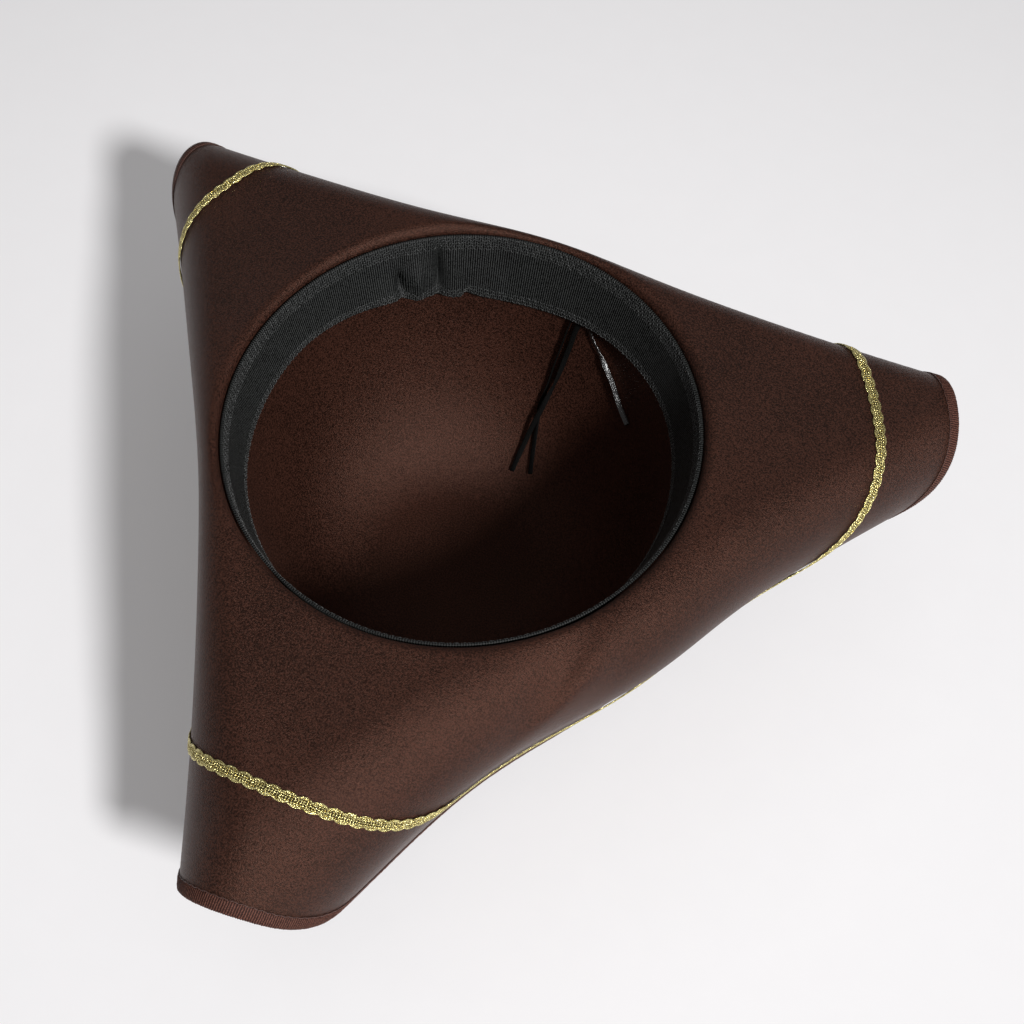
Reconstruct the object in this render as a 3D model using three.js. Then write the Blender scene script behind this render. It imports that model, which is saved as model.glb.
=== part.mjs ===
// A felt tricorn hat, lying upside down on the flat of its crown, with its head opening up.
// Millimetres, +Z up. The origin is the middle of the crown's flat, where the hat rests.
// The front corner points to -Y, and angles are counted anticlockwise from +X, seen from above.
import * as THREE from "three";

// Driving dimensions of the felt
const OPENING_LENGTH = 191;
const OPENING_WIDTH = 179;
const CROWN_DEPTH = 105;
const CROWN_FLAT = 64;
const CROWN_WALL_LEAN = 0.16;
const FELT_THICKNESS = 2;
const BRIM_WIDTH = 92;
const RIM_ROLL = 4.5;

// Driving dimensions of the trimmings
const CLEARANCE = 0.3;
const BRAID_WIDTH = 4.8;
const BRAID_THICKNESS = 1.2;
const BRAID_INSET = 31;
const SWEATBAND_WIDTH = 26;
const SWEATBAND_THICKNESS = 0.9;
const SWEATBAND_DROP = 1;
const SWEATBAND_TAPER = 8;
const TIE_WIDTH = 2;

// The three turned-up flaps, one row each: the side that it faces, how far the brim turns over at
// its middle, and how much further at its anticlockwise end, in degrees. start is where the turn
// begins, as a share of the opening's radius there. The rest are shares of the brim's width: the
// radius of the turn at the middle of the flap and towards the corner on either hand, clockwise
// (cw) and anticlockwise (ccw), how far the line where the turn begins bows out towards the
// corners, and how far it bulges at the middle.
const FLAPS = [
  { facing: 211.8, turn: 108, twist: 0, start: 0.9882,
    middle: 0.11, cw: 0.212, ccw: 0.322, bow: -0.05, bulge: -0.012 },
  { facing: 95.2, turn: 101, twist: 0, start: 0.8721,
    middle: 0.125, cw: 0.191, ccw: 0.288, bow: 0.106, bulge: 0.079 },
  { facing: 329.2, turn: 110.8, twist: 10.3, start: 0.9204,
    middle: 0.249, cw: 0.454, ccw: 0.232, bow: -0.02, bulge: 0.081 },
];
const FLAP_SPAN = 0.832;
const FLAP_END = 1.4;
const BULGE_SPAN = 0.3;

// The three corners between them: the direction in which the brim droops most, the droop from the
// level of the opening, and the direction of the corner's tip, in degrees. extra is the brim's
// extra width at the tip, as a share of its width, and braid is the braid's distance from the
// edge there, as a share of its distance on the flaps.
const CORNERS = [
  { facing: 264.9, droop: 11.8, tip: 260.9, extra: 0.144, braid: 1.309 },
  { facing: 174.3, droop: 13.6, tip: 152.8, extra: 0.124, braid: 1.168 },
  { facing: 32.5, droop: 10.5, tip: 40.2, extra: 0.154, braid: 1.136 },
];

// The soft crease of the brim over the front right fold, a ridge and the hollow beside it: the
// direction and the distance from the opening of the middle of each, the heading of its line, and
// its half length, half width and rise. All but the two angles, in degrees, are shares of the
// brim's width.
const CREASES = [
  { facing: 316.5, reach: 0.292, heading: 90, length: 0.25, width: 0.07, rise: 0.027 },
  { facing: 310.8, reach: 0.21, heading: 85, length: 0.27, width: 0.075, rise: -0.022 },
];

// The waves of the sweatband's lower edge: where each lies and its half width, in degrees, and
// how far it stands further in and is drawn up, as shares of the band's width.
const BAND_WAVES = [
  { facing: 136, spread: 6, inward: 0.1, lift: 0.1 },
  { facing: 98, spread: 22, inward: 0.04, lift: -0.14 },
  { facing: 165, spread: 20, inward: 0, lift: 0.12 },
  { facing: 38, spread: 20, inward: 0, lift: 0.1 },
];

// The routes of the ties, as points along each from behind the sweatband to its free end. They
// lie on the crown's inner wall, and the front one of the left pair crosses over the other.
const TIE_ROUTES = {
  tie_left_back: [
    [9.0, 88.7, 79.5], [9.2, 87.4, 74.5], [8.4, 85.8, 68.0], [7.7, 83.8, 60.7], [6.8, 81.3, 52.8],
    [6.3, 78.6, 45.4], [6.0, 75.6, 38.4], [5.6, 72.4, 32.1], [6.1, 69.1, 27.0], [7.2, 65.4, 22.2],
    [8.4, 61.4, 17.8], [9.7, 57.0, 14.0], [11.4, 51.9, 10.5],
  ],
  tie_left_front: [
    [12.5, 88.2, 79.5], [12.8, 86.9, 74.5], [11.9, 85.8, 69.5], [11.2, 83.8, 62.1], [10.5, 81.6, 55.4],
    [9.9, 79.1, 49.1], [9.1, 76.0, 43.2], [7.9, 72.5, 37.6], [6.9, 69.4, 32.3], [6.0, 67.0, 28.2],
    [5.0, 64.0, 22.6], [4.3, 60.4, 17.2], [3.7, 56.1, 12.7], [3.6, 50.7, 9.1],
  ],
  tie_right: [
    [16.0, 87.4, 79.5], [17.4, 85.9, 74.5], [20.2, 84.4, 70.5], [22.9, 82.8, 68.2], [26.3, 80.9, 65.6],
    [29.9, 78.5, 62.5], [33.5, 75.9, 59.6], [36.7, 73.1, 56.8], [40.2, 69.9, 53.8], [45.6, 65.0, 51.5],
  ],
};

// How finely the surfaces are divided
const COLUMNS = 80;
const COLUMN_CROWDING = 0.35;
const CORNER_DIRECTION = 32;
const CROWN_ROWS = 7;
const RIM_ROWS = 2;
const ROWS_INSIDE_BRAID = 9;
const ROWS_OUTSIDE_BRAID = 4;
const BRIM_ROWS = ROWS_INSIDE_BRAID + 1 + ROWS_OUTSIDE_BRAID;
const FELT_ROWS = CROWN_ROWS + RIM_ROWS + BRIM_ROWS;
const TIE_STEPS = 24;
const TIE_SIDES = 8;
const STEP_ANGLE = 0.002;
const STEP_ROW = 0.02;

// Sizes that follow
const HAT_HEIGHT = CROWN_DEPTH + FELT_THICKNESS;
const FLAT_RADIUS = CROWN_FLAT / 2;

const radians = (degrees) => (degrees * Math.PI) / 180;
const mix = (a, b, share) => a + (b - a) * share;

// Angle between two directions, from 0 to pi.
function angleBetween(a, b) {
  const turn = Math.abs(a - b) % (2 * Math.PI);
  return Math.min(turn, 2 * Math.PI - turn);
}

// 1 in the direction that a corner faces, in degrees, falling to 0 at 60 degrees from it.
function cornerWeight(facing, angle) {
  const away = angleBetween(angle, radians(facing));
  return away < Math.PI / 3 ? (1 + Math.cos(3 * away)) / 2 : 0;
}

// Sum over the corners of a value from their table, each by its weight in a direction.
function overCorners(angle, column, value) {
  return CORNERS.reduce((sum, corner) => sum + cornerWeight(corner[column], angle) * value(corner), 0);
}

// Radius of the oval head opening in a direction; its long axis runs front to back, along Y.
function openingRadius(angle) {
  const along = OPENING_LENGTH / 2;
  const across = OPENING_WIDTH / 2;
  return (along * across) / Math.hypot(across * Math.sin(angle), along * Math.cos(angle));
}

// Width of the felt from the opening to the brim's edge.
function brimWidth(angle) {
  return BRIM_WIDTH * (1 + overCorners(angle, "tip", (corner) => corner.extra));
}

// Distance of the braid's middle from the opening, along the felt.
function braidReach(angle) {
  const inset = BRAID_INSET * (1 + overCorners(angle, "tip", (corner) => corner.braid - 1));
  return brimWidth(angle) - inset;
}

// What turning one flap over does to a point of the brim: it moves it across the fold and down.
function turnFlap(flap, x, y) {
  const across = new THREE.Vector2(Math.cos(radians(flap.facing)), Math.sin(radians(flap.facing)));
  const span = FLAP_SPAN * (OPENING_LENGTH / 2 + BRIM_WIDTH);
  const side = (y * across.x - x * across.y) / span;
  const along = Math.min(Math.abs(side), FLAP_END);
  const corner = side > 0 ? flap.ccw : flap.cw;
  const radius = BRIM_WIDTH * mix(flap.middle, corner, along ** 2);
  const bow = flap.bow * along ** 2 + flap.bulge * Math.exp(-((along / BULGE_SPAN) ** 2));
  const start = flap.start * openingRadius(radians(flap.facing)) + BRIM_WIDTH * bow;
  const beyond = Math.max(x * across.x + y * across.y - start, 0);
  const turn = radians(flap.turn + flap.twist * Math.sign(side) * along);
  const bend = Math.min(beyond / radius, turn);
  const straight = Math.max(beyond - radius * turn, 0);
  const shift = radius * Math.sin(bend) + straight * Math.cos(bend) - beyond;
  const drop = radius * (1 - Math.cos(bend)) + straight * Math.sin(bend);
  return { x: across.x * shift, y: across.y * shift, drop };
}

// How far the creases lift the brim at a point, before the flaps are turned over.
function creaseRise(x, y) {
  return CREASES.reduce((sum, crease) => {
    const facing = radians(crease.facing);
    const heading = radians(crease.heading);
    const radius = openingRadius(facing) + BRIM_WIDTH * crease.reach;
    const fromX = x - radius * Math.cos(facing);
    const fromY = y - radius * Math.sin(facing);
    const along = (fromX * Math.cos(heading) + fromY * Math.sin(heading)) / (BRIM_WIDTH * crease.length);
    const across = (fromY * Math.cos(heading) - fromX * Math.sin(heading)) / (BRIM_WIDTH * crease.width);
    return sum + BRIM_WIDTH * crease.rise * Math.exp(-(along ** 2) - across ** 2);
  }, 0);
}

// A point of the brim's underside, which faces up here, at a distance out along the felt.
function brimPoint(angle, reach) {
  const droop = radians(overCorners(angle, "facing", (corner) => corner.droop));
  const radius = openingRadius(angle) + reach * Math.cos(droop);
  const x = radius * Math.cos(angle);
  const y = radius * Math.sin(angle);
  const point = new THREE.Vector3(x, y, HAT_HEIGHT - reach * Math.sin(droop) + creaseRise(x, y));
  for (const flap of FLAPS) {
    const turned = turnFlap(flap, x, y);
    point.x += turned.x;
    point.y += turned.y;
    point.z -= turned.drop;
  }
  return point;
}

// A point of the crown's inner wall: share 0 is the rim of the flat, share 1 the top of the wall.
function crownPoint(angle, share) {
  const wallTop = HAT_HEIGHT - RIM_ROLL;
  const turn = (share * Math.PI) / 2;
  const out = Math.sin(turn);
  const down = (wallTop - FELT_THICKNESS) * Math.cos(turn);
  const lean = CROWN_WALL_LEAN * down * out * (1 - down / CROWN_DEPTH);
  const radius = mix(FLAT_RADIUS, openingRadius(angle), out) - lean;
  return new THREE.Vector3(radius * Math.cos(angle), radius * Math.sin(angle), wallTop - down);
}

// Distance out along the brim of a row, counted from the rim; two rows are the braid's edges.
function brimReach(angle, row) {
  const braidInner = braidReach(angle) - BRAID_WIDTH / 2;
  const braidOuter = braidReach(angle) + BRAID_WIDTH / 2;
  if (row <= ROWS_INSIDE_BRAID) return mix(RIM_ROLL, braidInner, row / ROWS_INSIDE_BRAID);
  const past = row - ROWS_INSIDE_BRAID;
  if (past <= 1) return mix(braidInner, braidOuter, past);
  return mix(braidOuter, brimWidth(angle), (past - 1) / ROWS_OUTSIDE_BRAID);
}

// A point of the visible side of the felt, on one continuous sheet of rows: up the crown's wall,
// over the rolled rim of the opening, and out along the brim to its edge.
function feltPoint(angle, row) {
  if (row <= CROWN_ROWS) return crownPoint(angle, row / CROWN_ROWS);
  const onBrim = row - CROWN_ROWS - RIM_ROWS;
  if (onBrim >= 0) return brimPoint(angle, brimReach(angle, onBrim));
  const turn = (((row - CROWN_ROWS) / RIM_ROWS) * Math.PI) / 2;
  const point = brimPoint(angle, RIM_ROLL * (1 - Math.cos(turn)));
  point.z -= RIM_ROLL * (1 - Math.sin(turn));
  return point;
}

// The direction that the visible side of the felt faces.
function feltNormal(angle, row) {
  if (row <= 0) return new THREE.Vector3(0, 0, 1);
  const round = feltPoint(angle + STEP_ANGLE, row).sub(feltPoint(angle - STEP_ANGLE, row));
  const outer = Math.min(row + STEP_ROW, FELT_ROWS);
  const along = feltPoint(angle, outer).sub(feltPoint(angle, row - STEP_ROW));
  return along.cross(round).normalize();
}

// A point at a height over the visible side of the felt, or behind it where height is negative.
function overFelt(angle, row, height) {
  return feltPoint(angle, row).addScaledVector(feltNormal(angle, row), height);
}

// The direction of a column of points; they stand closer together towards the three corners.
function columnAngle(column) {
  const even = (column / COLUMNS) * 2 * Math.PI;
  return even - (COLUMN_CROWDING / 3) * Math.sin(3 * (even - radians(CORNER_DIRECTION)));
}

// A closed solid from rings of points. Each ring is one full turn, and each joins the next.
// The first and last rings are capped with a point each, or joined where no caps are given.
// Each four-sided patch is split on one diagonal or, where otherDiagonal is true, the other.
function solidOfRings(rings, capPoints, otherDiagonal = false) {
  const positions = rings.flat().concat(capPoints).flatMap((point) => point.toArray());
  const index = [];
  const closes = capPoints.length === 0;
  const strips = closes ? rings.length : rings.length - 1;
  for (let ring = 0; ring < strips; ring++) {
    const here = ring * COLUMNS;
    const there = ((ring + 1) % rings.length) * COLUMNS;
    for (let column = 0; column < COLUMNS; column++) {
      const next = (column + 1) % COLUMNS;
      if (otherDiagonal) {
        index.push(here + column, there + column, here + next);
        index.push(there + column, there + next, here + next);
      } else {
        index.push(here + column, there + column, there + next);
        index.push(here + column, there + next, here + next);
      }
    }
  }
  if (!closes) {
    const firstCap = rings.length * COLUMNS;
    const lastRing = (rings.length - 1) * COLUMNS;
    for (let column = 0; column < COLUMNS; column++) {
      const next = (column + 1) % COLUMNS;
      index.push(firstCap, column, next);
      index.push(firstCap + 1, lastRing + next, lastRing + column);
    }
  }
  const geometry = new THREE.BufferGeometry();
  geometry.setAttribute("position", new THREE.Float32BufferAttribute(positions, 3));
  geometry.setIndex(index);
  return geometry;
}

function ringOf(pointAt) {
  return Array.from({ length: COLUMNS }, (_, column) => pointAt(columnAngle(column)));
}

// The felt body: its visible side out to the brim's edge, then back along its other side.
function feltGeometry() {
  const seen = [];
  const hidden = [];
  for (let row = 0; row <= FELT_ROWS; row++) {
    seen.push(ringOf((angle) => overFelt(angle, row, 0)));
    hidden.unshift(ringOf((angle) => overFelt(angle, row, -FELT_THICKNESS)));
  }
  const insideOfTop = new THREE.Vector3(0, 0, FELT_THICKNESS);
  const outsideOfTop = new THREE.Vector3(0, 0, 0);
  return solidOfRings([...seen, ...hidden], [insideOfTop, outsideOfTop]);
}

// The braid: a flat band laid on the brim. Its edges follow two rows of the felt, and its patches
// are split as the felt's are, so that it lies on them evenly.
function braidGeometry() {
  const innerRow = CROWN_ROWS + RIM_ROWS + ROWS_INSIDE_BRAID;
  const corners = [
    [innerRow, CLEARANCE],
    [innerRow, CLEARANCE + BRAID_THICKNESS],
    [innerRow + 1, CLEARANCE + BRAID_THICKNESS],
    [innerRow + 1, CLEARANCE],
  ];
  const rings = corners.map(([row, height]) => ringOf((angle) => overFelt(angle, row, height)));
  return solidOfRings(rings, [], true);
}

// Sum over the band's waves of a value from their table, each fading out to its sides.
function overWaves(angle, value) {
  const share = (wave) => angleBetween(angle, radians(wave.facing)) / radians(wave.spread);
  return BAND_WAVES.reduce((sum, wave) => sum + value(wave) * Math.exp(-(share(wave) ** 2)), 0);
}

// A point of the sweatband: share 0 is its sewn upper edge, share 1 its free lower edge.
function sweatbandPoint(angle, share, inward) {
  const pull = SWEATBAND_WIDTH * share ** 2;
  const standOff = 2 * CLEARANCE + SWEATBAND_TAPER * share + pull * overWaves(angle, (wave) => wave.inward);
  const radius = openingRadius(angle) - standOff - inward;
  const fall = share * Math.sqrt(SWEATBAND_WIDTH ** 2 - SWEATBAND_TAPER ** 2);
  const lift = pull * overWaves(angle, (wave) => wave.lift);
  const z = HAT_HEIGHT - RIM_ROLL / 2 - SWEATBAND_DROP - fall + lift;
  return new THREE.Vector3(radius * Math.cos(angle), radius * Math.sin(angle), z);
}

// The sweatband: a ribbon sewn to the top of the crown's wall, standing off it below.
function sweatbandGeometry() {
  const corners = [
    [1, 0],
    [1, SWEATBAND_THICKNESS],
    [0.5, SWEATBAND_THICKNESS],
    [0, SWEATBAND_THICKNESS],
    [0, 0],
    [0.5, 0],
  ];
  return solidOfRings(
    corners.map(([share, inward]) => ringOf((angle) => sweatbandPoint(angle, share, inward))),
    [],
  );
}

// A tie: a thin tube along its route.
function tieGeometry(route) {
  const path = new THREE.CatmullRomCurve3(route.map((point) => new THREE.Vector3(...point)));
  const section = Array.from({ length: TIE_SIDES }, (_, side) => {
    const turn = (side / TIE_SIDES) * 2 * Math.PI;
    return new THREE.Vector2(Math.cos(turn), Math.sin(turn)).multiplyScalar(TIE_WIDTH / 2);
  });
  return new THREE.ExtrudeGeometry(new THREE.Shape(section), { steps: TIE_STEPS, extrudePath: path });
}

function material(color, roughness, metalness) {
  return new THREE.MeshStandardMaterial({ color, roughness, metalness });
}

function piece(name, geometry, finish) {
  const mesh = new THREE.Mesh(geometry, finish);
  mesh.name = name;
  return mesh;
}

const felt = material(0x432c26, 0.85, 0);
const gold = material(0xc9b23a, 0.35, 0.8);
const grosgrain = material(0x1c1d1d, 0.6, 0);
const satin = material(0x141414, 0.4, 0);

const hat = new THREE.Group();
hat.add(
  piece("felt_body", feltGeometry(), felt),
  piece("gold_braid", braidGeometry(), gold),
  piece("sweatband", sweatbandGeometry(), grosgrain),
);
for (const [name, route] of Object.entries(TIE_ROUTES)) hat.add(piece(name, tieGeometry(route), satin));

export default hat;
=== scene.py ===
"""A felt tricorn hat, lying upside down on its crown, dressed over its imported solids.

Everything is in metres and in the frame of the solids: the origin is the middle of the crown's
flat, +Z is up, out of the head opening, and the hat's front corner points to -Y.
"""

import logging
import math
from dataclasses import dataclass
from enum import Enum
from typing import Callable, Sequence

import bpy
import numpy as np
from mathutils import Matrix, Vector


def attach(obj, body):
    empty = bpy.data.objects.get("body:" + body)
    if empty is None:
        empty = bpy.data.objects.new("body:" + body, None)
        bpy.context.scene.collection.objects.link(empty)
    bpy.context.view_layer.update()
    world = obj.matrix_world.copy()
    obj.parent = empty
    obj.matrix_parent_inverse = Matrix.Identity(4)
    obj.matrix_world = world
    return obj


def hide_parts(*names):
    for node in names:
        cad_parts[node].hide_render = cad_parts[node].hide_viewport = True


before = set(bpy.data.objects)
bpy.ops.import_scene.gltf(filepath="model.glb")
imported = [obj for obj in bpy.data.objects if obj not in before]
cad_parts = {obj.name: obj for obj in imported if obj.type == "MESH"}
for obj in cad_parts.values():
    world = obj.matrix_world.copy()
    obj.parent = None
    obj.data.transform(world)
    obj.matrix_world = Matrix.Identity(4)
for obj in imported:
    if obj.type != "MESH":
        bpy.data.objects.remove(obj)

Array = np.ndarray
Colour = tuple[float, float, float]
Material = bpy.types.Material
Node = bpy.types.Node
Piece = bpy.types.Object
Socket = bpy.types.NodeSocket

log = logging.getLogger("tricorn_hat")
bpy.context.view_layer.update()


class Slot(Enum):
    """Names of some finishes; the stitches are given one but don't use it."""

    FELT = "felt"
    BRAID = "gold_braid"
    RIBBON = "black_ribbon"
    TIE = "black_tie"


class Edge(Enum):
    """The sweatband's edges: the share of its width, its rows of stitches, and their seed."""

    SEWN = (0.0, 5, 11)
    FREE = (1.0, 3, 12)


# --- small helpers on arrays of points ---


def unit(vectors: Array) -> Array:
    """Vectors of length 1 along the given ones."""
    return vectors / np.maximum(np.linalg.norm(vectors, axis=-1, keepdims=True), 1e-12)


def angle_between(a: Array, b: float) -> Array:
    """Angle between two directions, from 0 to pi."""
    turn = np.abs(a - b) % (2 * math.pi)
    return np.minimum(turn, 2 * math.pi - turn)


def even_turn(path: Callable[[Array], Array], spacing: float, samples: int = 6001) -> tuple[Array, float]:
    """Directions at which a closed line is cut into equal lengths.

    Args:
        path: The line, as points for directions in radians.
        spacing: The length of one part, about.
        samples: How many points measure the line.

    Returns:
        The direction at the start of each part, and the true length of the line.
    """
    dense = np.linspace(0, 2 * math.pi, samples)
    steps = np.linalg.norm(np.diff(path(dense), axis=0), axis=1)
    run = np.concatenate([[0.0], np.cumsum(steps)])
    count = max(3, round(run[-1] / spacing))
    return np.interp(np.arange(count) / count * run[-1], run, dense), float(run[-1])


# --- the shape that the felt, the braid and the stitches share ---


@dataclass(frozen=True)
class Flap:
    """One turned-up side of the brim.

    Angles are in degrees. The start is a share of the opening's radius, and the bend's radii, the
    bow and the bulge are shares of the brim's width.
    """

    facing: float
    turn: float
    twist: float
    start: float
    middle: float
    clockwise: float
    anticlockwise: float
    bow: float
    bulge: float


@dataclass(frozen=True)
class Corner:
    """One corner between two flaps.

    Directions and droop are in degrees. The brim is wider by the extra share at the tip, and the
    braid's inset there is the inset along the flaps times the last factor.
    """

    facing: float
    droop: float
    tip: float
    extra: float
    braid: float


@dataclass(frozen=True)
class Crease:
    """One soft ridge or hollow of the brim: angles in degrees, shares of the brim's width."""

    facing: float
    reach: float
    heading: float
    length: float
    width: float
    rise: float


@dataclass(frozen=True)
class HatShape:
    """The hat's felt surface, as the CAD part has it, for any direction and row.

    Rows run from the crown's flat over the rim and the braid to the brim's edge. The probes are
    the steps over which directions on the felt are measured.
    """

    opening_length: float = 0.191
    opening_width: float = 0.179
    crown_depth: float = 0.105
    crown_flat: float = 0.064
    wall_lean: float = 0.16
    felt_thickness: float = 0.002
    brim_width: float = 0.092
    rim_roll: float = 0.0045
    braid_width: float = 0.0048
    braid_inset: float = 0.031
    flap_span: float = 0.832
    flap_end: float = 1.4
    bulge_span: float = 0.3
    crown_rows: int = 7
    rim_rows: int = 2
    inner_rows: int = 9
    outer_rows: int = 4
    probe_angle: float = 0.002
    probe_row: float = 0.02
    flaps: tuple[Flap, ...] = (
        Flap(211.8, 108, 0, 0.9882, 0.11, 0.212, 0.322, -0.05, -0.012),
        Flap(95.2, 101, 0, 0.8721, 0.125, 0.191, 0.288, 0.106, 0.079),
        Flap(329.2, 110.8, 10.3, 0.9204, 0.249, 0.454, 0.232, -0.02, 0.081),
    )
    corners: tuple[Corner, ...] = (
        Corner(264.9, 11.8, 260.9, 0.144, 1.309),
        Corner(174.3, 13.6, 152.8, 0.124, 1.168),
        Corner(32.5, 10.5, 40.2, 0.154, 1.136),
    )
    creases: tuple[Crease, ...] = (
        Crease(316.5, 0.292, 90, 0.25, 0.07, 0.034),
        Crease(310.8, 0.21, 85, 0.27, 0.075, -0.030),
    )

    @property
    def height(self) -> float:
        """Height of the opening's rim over what the hat lies on."""
        return self.crown_depth + self.felt_thickness

    @property
    def braid_row(self) -> int:
        """The row that is the braid's inner edge; the next one is its outer edge."""
        return self.crown_rows + self.rim_rows + self.inner_rows

    @property
    def last_row(self) -> int:
        """The row that is the brim's edge."""
        return self.braid_row + 1 + self.outer_rows

    def over_corners(self, angle: Array, column: str, value: Callable[[Corner], float]) -> Array:
        """Sums a value over the corners, each by its weight in a direction.

        Args:
            angle: Directions in radians.
            column: The field that holds where the weight is greatest.
            value: What to sum.

        Returns:
            The sum for each direction.
        """
        total = np.zeros_like(angle)
        for corner in self.corners:
            away = angle_between(angle, math.radians(getattr(corner, column)))
            total = total + np.where(away < math.pi / 3, (1 + np.cos(3 * away)) / 2, 0) * value(corner)
        return total

    def opening_radius(self, angle: Array) -> Array:
        """Radius of the oval head opening in a direction."""
        along, across = self.opening_length / 2, self.opening_width / 2
        return along * across / np.hypot(across * np.sin(angle), along * np.cos(angle))

    def brim(self, angle: Array) -> Array:
        """Width of the felt from the opening to the brim's edge."""
        return self.brim_width * (1 + self.over_corners(angle, "tip", lambda c: c.extra))

    def braid_reach(self, angle: Array) -> Array:
        """Distance of the braid's middle from the opening, along the felt."""
        wider = self.over_corners(angle, "tip", lambda c: c.braid - 1)
        return self.brim(angle) - self.braid_inset * (1 + wider)

    def turn_flap(self, flap: Flap, x: Array, y: Array) -> tuple[Array, Array, Array]:
        """Turns one flap over.

        Args:
            flap: The flap.
            x: The brim's points before any turn, along X.
            y: The same points along Y.

        Returns:
            How far each point moves along X, along Y and down.
        """
        facing = math.radians(flap.facing)
        to_x, to_y = math.cos(facing), math.sin(facing)
        side = (y * to_x - x * to_y) / (self.flap_span * (self.opening_length / 2 + self.brim_width))
        along = np.minimum(np.abs(side), self.flap_end)
        corner = np.where(side > 0, flap.anticlockwise, flap.clockwise)
        radius = self.brim_width * (flap.middle + (corner - flap.middle) * along**2)
        bow = flap.bow * along**2 + flap.bulge * np.exp(-((along / self.bulge_span) ** 2))
        start = flap.start * self.opening_radius(facing) + self.brim_width * bow
        beyond = np.maximum(x * to_x + y * to_y - start, 0)
        turn = np.radians(flap.turn + flap.twist * np.sign(side) * along)
        bend = np.minimum(beyond / radius, turn)
        straight = np.maximum(beyond - radius * turn, 0)
        shift = radius * np.sin(bend) + straight * np.cos(bend) - beyond
        drop = radius * (1 - np.cos(bend)) + straight * np.sin(bend)
        return to_x * shift, to_y * shift, drop

    def crease_rise(self, x: Array, y: Array) -> Array:
        """How far the creases lift the brim, before the flaps are turned over.

        Args:
            x: The brim's points along X.
            y: The same points along Y.

        Returns:
            The rise at each point.
        """
        rise = np.zeros_like(x)
        for crease in self.creases:
            facing, heading = math.radians(crease.facing), math.radians(crease.heading)
            radius = self.opening_radius(facing) + self.brim_width * crease.reach
            from_x, from_y = x - radius * math.cos(facing), y - radius * math.sin(facing)
            along = from_x * math.cos(heading) + from_y * math.sin(heading)
            across = from_y * math.cos(heading) - from_x * math.sin(heading)
            along = along / (self.brim_width * crease.length)
            across = across / (self.brim_width * crease.width)
            rise = rise + self.brim_width * crease.rise * np.exp(-(along**2) - across**2)
        return rise

    def brim_point(self, angle: Array, reach: Array) -> Array:
        """Points of the brim's underside, which faces up here.

        Args:
            angle: Directions in radians.
            reach: Distances out along the felt from the opening.

        Returns:
            The points.
        """
        droop = np.radians(self.over_corners(angle, "facing", lambda c: c.droop))
        radius = self.opening_radius(angle) + reach * np.cos(droop)
        x, y = radius * np.cos(angle), radius * np.sin(angle)
        z = self.height - reach * np.sin(droop) + self.crease_rise(x, y)
        moved_x, moved_y = x, y
        for flap in self.flaps:
            shift_x, shift_y, drop = self.turn_flap(flap, x, y)
            moved_x, moved_y, z = moved_x + shift_x, moved_y + shift_y, z - drop
        return np.stack([moved_x, moved_y, z], -1)

    def crown_point(self, angle: Array, share: Array) -> Array:
        """Points of the crown's inner wall.

        Args:
            angle: Directions in radians.
            share: 0 at the rim of the flat, 1 at the wall's top.

        Returns:
            The points.
        """
        wall_top = self.height - self.rim_roll
        out = np.sin(share * math.pi / 2)
        down = (wall_top - self.felt_thickness) * np.cos(share * math.pi / 2)
        lean = self.wall_lean * down * out * (1 - down / self.crown_depth)
        flat = self.crown_flat / 2
        radius = flat + (self.opening_radius(angle) - flat) * out - lean
        return np.stack([radius * np.cos(angle), radius * np.sin(angle), wall_top - down + 0 * radius], -1)

    def brim_reach(self, angle: Array, row: Array) -> Array:
        """Distance of a row out along the brim.

        Args:
            angle: Directions in radians.
            row: Rows, counted from the rim.

        Returns:
            The distances from the opening.
        """
        inner = self.braid_reach(angle) - self.braid_width / 2
        outer = self.braid_reach(angle) + self.braid_width / 2
        past = row - self.inner_rows
        before = self.rim_roll + (inner - self.rim_roll) * row / self.inner_rows
        on_braid = inner + (outer - inner) * past
        after = outer + (self.brim(angle) - outer) * (past - 1) / self.outer_rows
        return np.where(past <= 0, before, np.where(past <= 1, on_braid, after))

    def felt_point(self, angle: Array, row: Array) -> Array:
        """Points of the visible side of the felt: the crown's wall, the rim, the brim.

        Args:
            angle: Directions in radians.
            row: Rows, from 0 at the flat to last_row at the brim's edge.

        Returns:
            The points.
        """
        angle, row = np.broadcast_arrays(np.asarray(angle, float), np.asarray(row, float))
        crown = self.crown_point(angle, np.minimum(row / self.crown_rows, 1))
        on_brim = row - self.crown_rows - self.rim_rows
        brim = self.brim_point(angle, self.brim_reach(angle, np.maximum(on_brim, 0)))
        turn = np.clip((row - self.crown_rows) / self.rim_rows, 0, 1) * math.pi / 2
        rim = self.brim_point(angle, self.rim_roll * (1 - np.cos(turn)))
        rim[..., 2] -= self.rim_roll * (1 - np.sin(turn))
        on_rim = np.where((on_brim >= 0)[..., None], brim, rim)
        return np.where((row <= self.crown_rows)[..., None], crown, on_rim)

    def felt_frame(self, angle: Array, row: Array) -> tuple[Array, Array, Array]:
        """Directions on the felt.

        Args:
            angle: Directions in radians.
            row: Rows.

        Returns:
            Unit vectors along the rows (anticlockwise), out across them, and off the felt.
        """
        angle, row = np.broadcast_arrays(np.asarray(angle, float), np.asarray(row, float))
        turn, step = self.probe_angle, self.probe_row
        ahead = self.felt_point(angle + turn, row) - self.felt_point(angle - turn, row)
        outer = self.felt_point(angle, np.minimum(row + step, self.last_row))
        out = outer - self.felt_point(angle, np.maximum(row - step, 0))
        off = np.where((row <= 0)[..., None], np.array([0.0, 0.0, 1.0]), unit(np.cross(out, ahead)))
        return unit(ahead), unit(out), off


# --- meshes ---


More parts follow.
